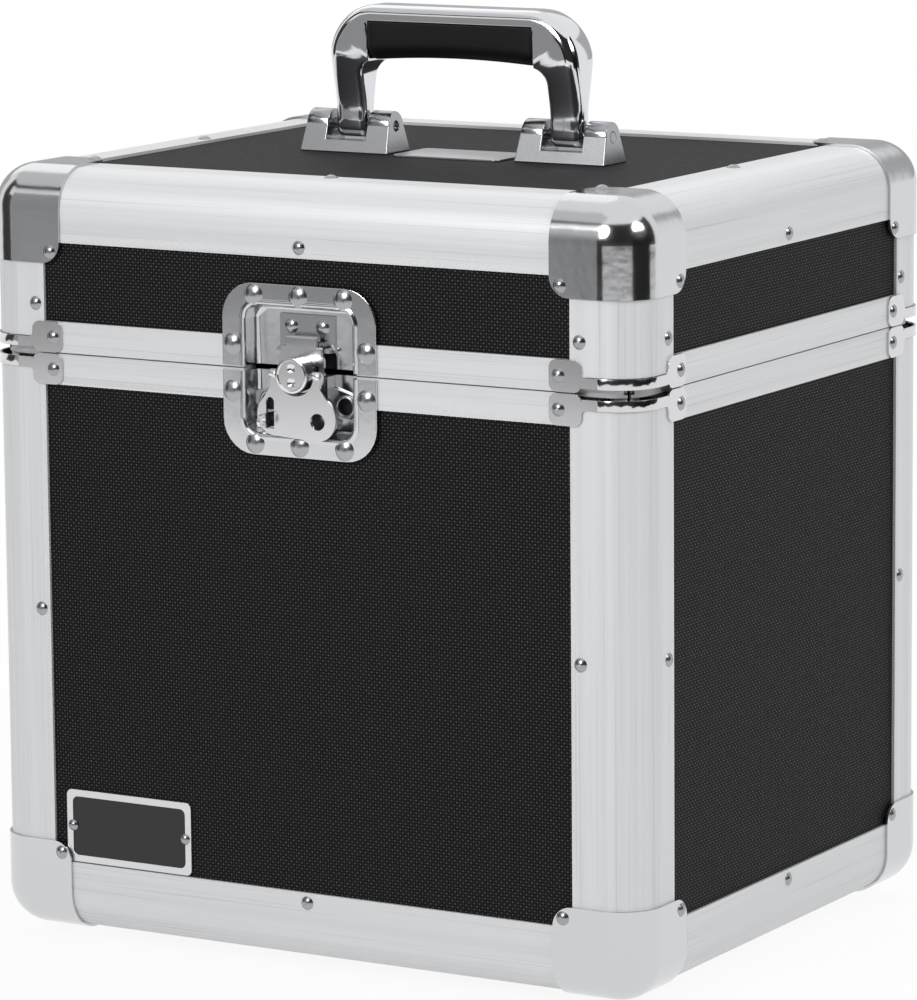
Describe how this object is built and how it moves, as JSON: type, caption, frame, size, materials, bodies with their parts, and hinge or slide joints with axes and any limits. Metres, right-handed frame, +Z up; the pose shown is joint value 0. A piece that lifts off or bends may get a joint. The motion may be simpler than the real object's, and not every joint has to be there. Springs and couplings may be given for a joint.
{
  "type": "record carrying case",
  "caption": "Upright carrying case of black laminated panels in metal angles with ball corners, a hinged lid, a recessed turn latch and a fold-down top handle.",
  "frame": {"origin": "on the floor under the middle of the case, between the feet", "axes": "+X to the right seen from the front, -Y out of the front with the latch, +Z up"},
  "size_m": [0.3658, 0.3214, 0.4535],
  "materials": {
    "panel_laminate": "black embossed plastic laminate on plywood",
    "angle_aluminium": "satin, finely brushed along its length",
    "ball_corner_chrome": "bright nickel plate",
    "brace_nickel": "bright nickel plate",
    "rivet_nickel": "bright nickel plate",
    "latch_rivet_chrome": "polished",
    "latch_dish_chrome": "bright nickel plate",
    "latch_wing_chrome": "polished",
    "mechanism_steel": "zinc plated",
    "hinge_steel": "nickel plated",
    "lining_foam": "matt black foam sheet",
    "foot_rubber": "matt black",
    "screw_steel": "zinc plated",
    "front_plate_metal": "bright border round a black field, bare of print",
    "top_plate_metal": "satin, bare of print",
    "handle_chrome": "polished chrome plate",
    "grip_plastic": "black, fine grained"
  },
  "bodies": {
    "case": {"floor_panel": "panel_laminate", "front_panel": "panel_laminate", "back_panel": "panel_laminate", "left_panel": "panel_laminate", "right_panel": "panel_laminate", "corner_angle_front_left": "angle_aluminium", "corner_angle_front_right": "angle_aluminium", "corner_angle_back_left": "angle_aluminium", "corner_angle_back_right": "angle_aluminium", "bottom_angle_front": "angle_aluminium", "bottom_angle_back": "angle_aluminium", "bottom_angle_left": "angle_aluminium", "bottom_angle_right": "angle_aluminium", "body_rim": "angle_aluminium", "bottom_corner_front_left": "ball_corner_chrome", "bottom_corner_front_right": "ball_corner_chrome", "bottom_corner_back_left": "ball_corner_chrome", "bottom_corner_back_right": "ball_corner_chrome", "body_rim_braces": "brace_nickel", "body_rivets": "rivet_nickel", "body_floor_pad": "lining_foam", "body_wall_pads": "lining_foam", "rubber_feet": "foot_rubber", "foot_screws": "screw_steel", "front_nameplate": "front_plate_metal", "latch_dish_lower": "latch_dish_chrome", "latch_rivets_lower": "latch_rivet_chrome", "latch_base": "mechanism_steel", "padlock_staple": "latch_wing_chrome", "hinge_leaves_lower": "hinge_steel", "hinge_pins": "hinge_steel"},
    "lid": {"top_panel": "panel_laminate", "lid_front_panel": "panel_laminate", "lid_back_panel": "panel_laminate", "lid_left_panel": "panel_laminate", "lid_right_panel": "panel_laminate", "lid_corner_angles": "angle_aluminium", "top_edge_angles": "angle_aluminium", "lid_rim": "angle_aluminium", "top_corner_front_left": "ball_corner_chrome", "top_corner_front_right": "ball_corner_chrome", "top_corner_back_left": "ball_corner_chrome", "top_corner_back_right": "ball_corner_chrome", "lid_rim_braces": "brace_nickel", "lid_rivets": "rivet_nickel", "lid_top_pad": "lining_foam", "lid_wall_pads": "lining_foam", "top_nameplate": "top_plate_metal", "handle_brackets": "handle_chrome", "handle_pins": "screw_steel", "latch_dish_upper": "latch_dish_chrome", "latch_rivets_upper": "latch_rivet_chrome", "latch_strike": "mechanism_steel", "hinge_leaves_upper": "hinge_steel"},
    "handle": {"handle_bail": "handle_chrome", "handle_grip": "grip_plastic"},
    "post": {"latch_post": "latch_wing_chrome", "wing_pin": "mechanism_steel"},
    "wing": {"latch_wing": "latch_wing_chrome"},
    "hook": {"latch_hook": "mechanism_steel"}
  },
  "joints": [
    {"name": "lid_hinge", "type": "hinge", "parent": "case", "child": "lid", "pos_m": [0, 0.1568, 0.2944], "axis": [-1, 0, 0], "range_deg": [0, 100]},
    {"name": "handle_fold", "type": "hinge", "parent": "lid", "child": "handle", "pos_m": [0, 0, 0.3944], "axis": [1, 0, 0], "range_deg": [-90, 90]},
    {"name": "latch_turn", "type": "hinge", "parent": "case", "child": "post", "pos_m": [0, -0.152, 0.2936], "axis": [0, 1, 0], "range_deg": [0, 180]},
    {"name": "wing_flip", "type": "hinge", "parent": "post", "child": "wing", "pos_m": [0, -0.15615, 0.2936], "axis": [-1, 0, 0], "range_deg": [0, 90]},
    {"name": "hook_lift", "type": "slide", "parent": "case", "child": "hook", "axis": [0, 0, 1], "range_m": [0, 0.00601]}
  ],
  "couplings": [
    {"joint": "hook_lift", "follows": "latch_turn", "m_per_rad": 0.0019099}
  ]
}
